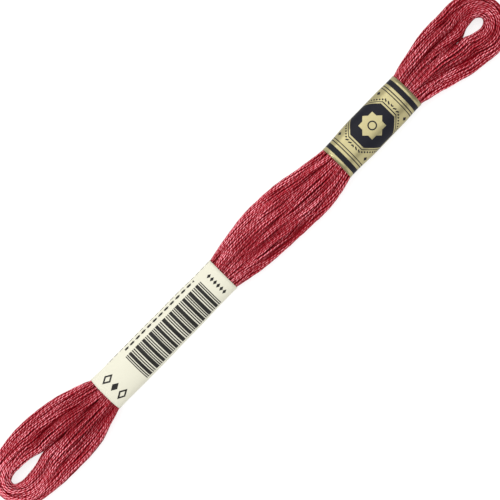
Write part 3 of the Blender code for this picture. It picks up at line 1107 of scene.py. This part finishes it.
def band_ring(section, around):
    """A band's outside: points round a section from under one side to under the other."""
    half = 0.5 * section.height
    angle = around * TAU - 0.5 * math.pi
    cos, sin = np.cos(angle), np.sin(angle)
    power = 2.0 / SECTION_POWER
    reach = np.where(cos < 0.0, section.mid - section.low, section.high - section.mid)
    y = section.mid + reach * np.sign(cos) * np.abs(cos) ** power
    z = half + half * np.sign(sin) * np.abs(sin) ** power * np.where(sin < 0.0, UNDERSIDE_PRESS, 1.0)
    return y, np.maximum(z, 0.0)


def even_ring(section):
    """Evenly spread points once round a band and on over its lap.

    Returns their y and z, their distance from the top, and how deep they lie under the lap.
    """
    around = np.linspace(0.0, 1.0, RING_SAMPLES)
    y, z = band_ring(section, around)
    run = added_up(np.hypot(np.diff(y), np.diff(z)))
    lap = BAND_LAP / run[-1]
    share = np.linspace(0.0, 1.0 + lap, BAND_AROUND + 1)
    wrapped = share % 1.0 * run[-1]
    girth = np.interp(0.5, around, run) - share * run[-1]
    return np.interp(wrapped, run, y), np.interp(wrapped, run, z), girth, ease((lap - share) / lap * 4.0)


def build_band(name, node, material):
    """A strip of paper round the floss, lapped and glued under it."""
    low, high = BAND_SPANS[node]
    outer, inner, prints = [], [], []
    for x in np.linspace(low, high, round((high - low) / BAND_STEP) + 1):
        level = section_at(min(max(x, low + BAND_STIFF), high - BAND_STIFF)).height
        y, z, girth, under = even_ring(section_at(x)._replace(height=level))
        slope_y, slope_z = np.gradient(y), np.gradient(z)
        out = np.column_stack([0.0 * y, slope_z, -slope_y]) / np.hypot(slope_y, slope_z)[:, None]
        dent = BAND_DENT * (1.0 + np.sin(0.5 * girth + x * 0.21) * np.sin(x * 0.34 + 2.0))
        sink = LAP_SINK * under + dent * ease((z - DENT_FROM) / DENT_RISE)
        ring = np.column_stack([np.full_like(y, x), y, z])
        outer.append(ring - out * sink[:, None])
        inner.append(ring - out * (sink + PAPER)[:, None])
        prints.append(np.column_stack([np.full_like(y, x), girth]))
    return paper_mesh(name, np.array(outer), np.array(inner), np.array(prints), material)


def add_grid(grid, low, high, faces, bake):
    """Adds the faces of a grid of points, which lie between two heights on the bake map."""
    u = np.linspace(MAP_MARGIN, 1.0 - MAP_MARGIN, grid.shape[0])
    v = np.linspace(low, high, grid.shape[1])
    for i in range(grid.shape[0] - 1):
        for j in range(grid.shape[1] - 1):
            corners = ((i, j), (i, j + 1), (i + 1, j + 1), (i + 1, j))
            faces.append([int(grid[corner]) for corner in corners])
            bake.extend((u[row], v[column]) for row, column in corners)


def paper_mesh(name, outer, inner, prints, material):
    """A closed thin sheet from two grids of points, with its print map and bake map."""
    rows, columns = outer.shape[:2]
    front = np.arange(rows * columns).reshape(rows, columns)
    back = front + rows * columns
    faces, bake = [], []
    add_grid(front, *MAP_FRONT, faces, bake)
    add_grid(back[::-1], *MAP_BACK, faces, bake)
    rim = len(faces)
    ends = ((front[0], back[0]), (back[-1], front[-1]))
    sides = ((back[:, 0], front[:, 0]), (front[:, -1], back[:, -1]))
    for number, edges in enumerate(ends + sides):
        place = MAP_RIMS + 2.0 * MAP_MARGIN * number
        add_grid(np.stack(edges, axis=1), place, place + MAP_MARGIN, faces, bake)
    mesh = bpy.data.meshes.new(name)
    points = np.concatenate([outer.reshape(-1, 3), inner.reshape(-1, 3)]) * MM
    mesh.from_pydata(points.tolist(), [], faces)
    flat = np.concatenate([prints.reshape(-1, 2), prints.reshape(-1, 2)])[mesh_corners(mesh)[0]]
    write_map(mesh, "print", *flat.T)
    write_map(mesh, "OFBake", *np.array(bake).T)
    for number, polygon in enumerate(mesh.polygons):
        polygon.use_smooth = number < rim
    mesh.materials.append(material)
    return add_object(name, mesh)


# ---------------------------------------------------------------- materials


def smallest(*values):
    """The smallest of several shader values at each place."""
    return reduce(lambda a, b: a.math("MINIMUM", b), values)


def largest(*values):
    """The largest of several shader values at each place."""
    return reduce(lambda a, b: a.math("MAXIMUM", b), values)


def clamp(value):
    """A shader value held between 0 and 1."""
    return largest(smallest(value, 1.0), 0.0)


def spread(value, low, high):
    """A value's middle range spread out to run from 0 to 1."""
    return clamp((value - low) / (high - low))


def stripe(value, middle, width):
    """How far a value is outside a stripe of that middle and width: below nothing inside it."""
    return abs(value - middle) - 0.5 * width


def ink(distance):
    """Printed where a distance is below nothing, with a crisp but not hard edge."""
    return clamp(0.5 - distance / INK_EDGE)


def cord_height(run, turn):
    """How high two plies twisted together stand, on the side that faces out: 1 on a crest."""
    phase = run * (TAU / PLY_PITCH)
    aside = (turn * TAU).math("SINE")
    shift = phase.math("SINE") * PLY_OFFSET
    rise = phase.math("COSINE") * PLY_OFFSET
    over = aside - shift
    under = aside + shift
    return PLY_RADIUS + largest(rise - over * over / PLY_RADIUS, -rise - under * under / PLY_RADIUS)


def painted_light_and_shade(shader):
    """The painted light and painted shade at each place over the skein, about 1: above it lighter, below
    it darker.
    """
    x, y = (place / MM for place in shader.split(shader.place()))
    total = 1.0
    for painted_patches in PAINTED_LIGHT_AND_SHADE_PATCHES:
        along = (x - painted_patches.x) / painted_patches.reach_x
        across = (y - painted_patches.y) / painted_patches.reach_y
        total = total + painted_patches.amount * (-(along * along + across * across)).math("EXPONENT")
    return total


def floss_material():
    """Mercerised cotton: two plies twisted together, fine fibres, a soft gloss, painted highlights and
    painted shade.
    """
    shader = Shader(
        "cotton_floss",
        FLOSS_ROUGHNESS,
        Specular_IOR_Level=FLOSS_GLOSS,
        Specular_Tint=FLOSS_GLINT,
        Sheen_Weight=0.01,
        Sheen_Roughness=0.4,
    )
    run, turn = shader.map("strand")
    angle = turn * TAU
    # how far round a point is from the strand's side that faces out: sides that face in are painted in
    # shade
    flank = 1.0 - abs(turn) * 2.0
    # how openly the strand lies: where it lies enclosed it is painted in shade and loses its painted
    # highlight
    openness = spread(shader.map("lie")[0], 0.2, 0.9)
    drift = shader.wave(run * PLY_DRIFT[0], 11.0)
    slip = shader.wave(run * PLY_SLIP[0], 5.0)
    height = cord_height(run + PLY_DRIFT[1] * drift + PLY_SLIP[1] * slip, turn)
    fibre_spot = shader.vector(run * 0.35, angle.math("COSINE") * 0.62, angle.math("SINE") * 0.62)
    fibres = shader.noise(fibre_spot, 5.0, 3.0, 0.6)
    streak = spread(shader.wave(run / STREAK_LENGTH, 7.0, 2.0, 0.7), 0.32, 0.68)
    # random painted glints that brighten the painted highlight here and there
    painted_glint = spread(shader.wave(run / PAINTED_GLINT_LENGTH, 3.0), 0.3, 0.62)
    scaled = {"operation": "MULTIPLY"}
    patch_spot = shader.node("ShaderNodeVectorMath", scaled, shader.place(), PATCH_SCALE)
    patch = spread(shader.noise(patch_spot, 1.0, 1.0), 0.3, 0.7)
    # painted light and painted shade in soft patches over the skein
    painted_patches = painted_light_and_shade(shader)
    # the dye's tone with painted shade in ply valleys, on sides that face in and where the strand lies
    # enclosed, painted patches of light and shade, and random streaks and patches
    body = spread(height, -0.05, 0.75) * spread(flank, 0.45, 0.85) * (0.5 + 0.5 * streak)
    body = body * (0.2 + 0.8 * openness) * (0.3 + 0.7 * painted_patches) * (0.75 + 0.25 * patch)
    # a painted highlight on the ply crests that face out and lie open, with painted patches of light and
    # random painted glints
    crest = spread(height, 0.5, 1.0) * spread(flank, 0.5, 1.0) * (0.4 + 0.6 * streak)
    crest = crest * openness * painted_patches * (0.2 + 0.8 * patch) * (0.35 + 0.65 * painted_glint)
    cord = shader.mix(body, FLOSS_PAINTED_SHADE, FLOSS_MID)
    shader.set("Base Color", shader.mix(crest * CREST_SHARE, cord, FLOSS_PAINTED_HIGHLIGHT))
    shader.set("Normal", shader.bump(height + fibres * 0.3, PLY_DEPTH * MM))
    shader.set("Roughness", FLOSS_ROUGHNESS + 0.2 * fibres)
    return shader.material


def paper_grain(shader):
    """The paper's fine grain and its cloudiness."""
    place = shader.place()
    fine = shader.noise(place, 2600.0, 3.0, 0.6)
    cloudy = shader.noise(place, 160.0, 2.0, 0.5)
    return fine, cloudy


def cream_material():
    """Uncoated cream paper, printed in black with plain bars and marks."""
    shader = Shader("cream_paper", CREAM_ROUGHNESS, Specular_IOR_Level=PAPER_GLOSS)
    x, girth = shader.map("print")
    fine, cloudy = paper_grain(shader)
    paper = shader.mix(0.35 * cloudy + 0.3 * fine, CREAM, CREAM_SHADED)
    off = abs(x - BAR_CENTRE)
    step = off % BAR_REPEAT
    bars = smallest(*(stripe(step, *bar) for bar in BARS))
    marks = [ink(largest(bars, off - 0.5 * BAR_LENGTH, stripe(girth, BAR_GIRTH, BAR_HEIGHT)))]
    for rule in RULES:
        dash = stripe(x % rule.repeat, 0.5 * rule.repeat, rule.dash)
        past = off - 0.5 * rule.length
        marks.append(ink(largest(dash, past, stripe(girth, rule.girth, rule.width))))
    along = (x - MARK_X) * MARK_STRETCH
    for place, kind in MARKS:
        lozenge = abs(along) + abs(girth - place) - MARK_SIZE
        marks.append(ink(abs(lozenge) - 0.5 * MARK_LINE if kind == "open" else lozenge))
    down = abs(girth - DOT_GIRTH)
    dot = abs(x - DOT_X) * MARK_STRETCH + abs(down % DOT_REPEAT - 0.5 * DOT_REPEAT) - DOT_SIZE
    marks.append(ink(largest(dot, down - 0.5 * DOT_LENGTH)))
    printed = largest(*marks)
    shader.set("Base Color", shader.mix(printed * (1.0 - 0.02 * fine), paper, INK))
    shader.set("Roughness", CREAM_ROUGHNESS - 0.12 * printed)
    shader.set("Normal", shader.bump(fine, 0.02 * MM, 0.5))
    return shader.material


def gold_material():
    """Gold paper, printed in navy with stripes and a dark plate that holds a star."""
    shader = Shader("gold_paper", GOLD_ROUGHNESS, Specular_IOR_Level=PAPER_GLOSS)
    x, girth = shader.map("print")
    fine, cloudy = paper_grain(shader)
    low, high = BAND_SPANS["short_band"]
    centre = 0.5 * (low + high)
    off = abs(x - centre)
    end = 0.5 * (high - low) - off
    stripes = stripe(end, *EDGE_STRIPE)
    lines = smallest(*(stripe(end, *line) for line in GOLD_LINES))
    away = abs(girth)
    long, wide = PLATE_REACH
    slant = off / long + away / wide
    plate = largest(slant - PLATE_SLANT, off / long - PLATE_END, away / wide - PLATE_END) * long
    border = stripe(plate, *PLATE_BORDER)
    square = largest(off, away) - STAR_SIZE
    turned = (off + away) * math.sqrt(0.5) - STAR_SIZE
    star = smallest(square, turned)
    heart = (off * off + away * away).math("SQRT")
    ring = stripe(heart, *STAR_RING)
    dots = abs(off - CORNER_DOTS[0]) + abs(away - CORNER_DOTS[1]) - CORNER_DOT_SIZE
    bead = abs(off - away) % BEAD_REPEAT - 0.5 * BEAD_REPEAT
    beads = abs(plate - BEAD_OFF) + abs(bead) - BEAD_SIZE
    dark = largest(*(ink(shape) for shape in (stripes, lines, plate, border, dots, beads)))
    printed = dark * (1.0 - ink(star) * (1.0 - ink(ring)))
    gold = shader.mix(0.5 * cloudy + 0.4 * fine, GOLD, GOLD_SHADED)
    shader.set("Base Color", shader.mix(printed, gold, NAVY))
    shader.set("Metallic", 0.8 * (1.0 - printed))
    shader.set("Roughness", GOLD_ROUGHNESS + 0.12 * fine + 0.2 * printed)
    shader.set("Normal", shader.bump(fine, 0.012 * MM, 0.4))
    return shader.material


def floor_material():
    """A plain pale floor, lit evenly all over."""
    shader = Shader("pale_floor", FLOOR_ROUGHNESS, Specular_IOR_Level=0.1)
    grain = shader.noise(shader.place(), 40.0, 2.0)
    shader.set("Base Color", shader.mix(grain, FLOOR_SHADED, FLOOR_LIT))
    shader.set("Emission Color", WHITE)
    shader.set("Emission Strength", FLOOR_GLOW)
    return shader.material


# ---------------------------------------------------------------- floor, light, camera


def build_floor():
    """One wide square just under the skein."""
    mesh = bpy.data.meshes.new("floor")
    half = FLOOR_SIDE * 0.5 * MM
    drop = -FLOOR_DROP * MM
    corners = [(-half, -half, drop), (half, -half, drop), (half, half, drop), (-half, half, drop)]
    mesh.from_pydata(corners, [], [(0, 1, 2, 3)])
    mesh.materials.append(floor_material())
    floor = add_object("floor", mesh)


def light_scene():
    """Even light from all round, with soft lamps above and low to either side."""
    world = bpy.data.worlds.new("studio")
    world.use_nodes = True
    background = world.node_tree.nodes["Background"]
    background.inputs["Color"].default_value = WHITE
    background.inputs["Strength"].default_value = WORLD_STRENGTH
    bpy.context.scene.world = world
    bpy.context.scene.view_settings.view_transform = "Standard"
    for lamp in LAMPS:
        light = bpy.data.lights.new(lamp.name, "AREA")
        light.shape = "DISK"
        light.size = lamp.size
        light.energy = lamp.power
        direction = Vector(lamp.toward).normalized()
        placed = add_object(lamp.name, light)
        placed.location = direction * LAMP_DISTANCE
        placed.rotation_euler = direction.to_track_quat("Z", "Y").to_euler()


def place_camera():
    """Straight down on the skein, turned so that it runs from corner to corner."""
    data = bpy.data.cameras.new("camera")
    data.lens = LENS
    data.sensor_width = SENSOR
    data.clip_start = 0.01
    camera = add_object("camera", data)
    height = VIEW_WIDTH / SENSOR * LENS + 0.5 * cad_box[1][2] / MM
    camera.location = (VIEW_CENTRE[0] * MM, VIEW_CENTRE[1] * MM, height * MM)
    camera.rotation_euler = (0.0, 0.0, -math.radians(VIEW_TURN))
    bpy.context.scene.camera = camera


# ---------------------------------------------------------------- the whole skein

place_camera()
light_scene()
build_floor()

strands = build_floss(floss_material())
for piece in strands:
    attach(piece, "root")
    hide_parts("skein")

for name, node, slot, material in (
    ("cream_band", "long_band", "long_band_paper", cream_material()),
    ("gold_band", "short_band", "short_band_paper", gold_material()),
):
    band = build_band(name, node, material)
    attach(band, "root")
    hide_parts(node)
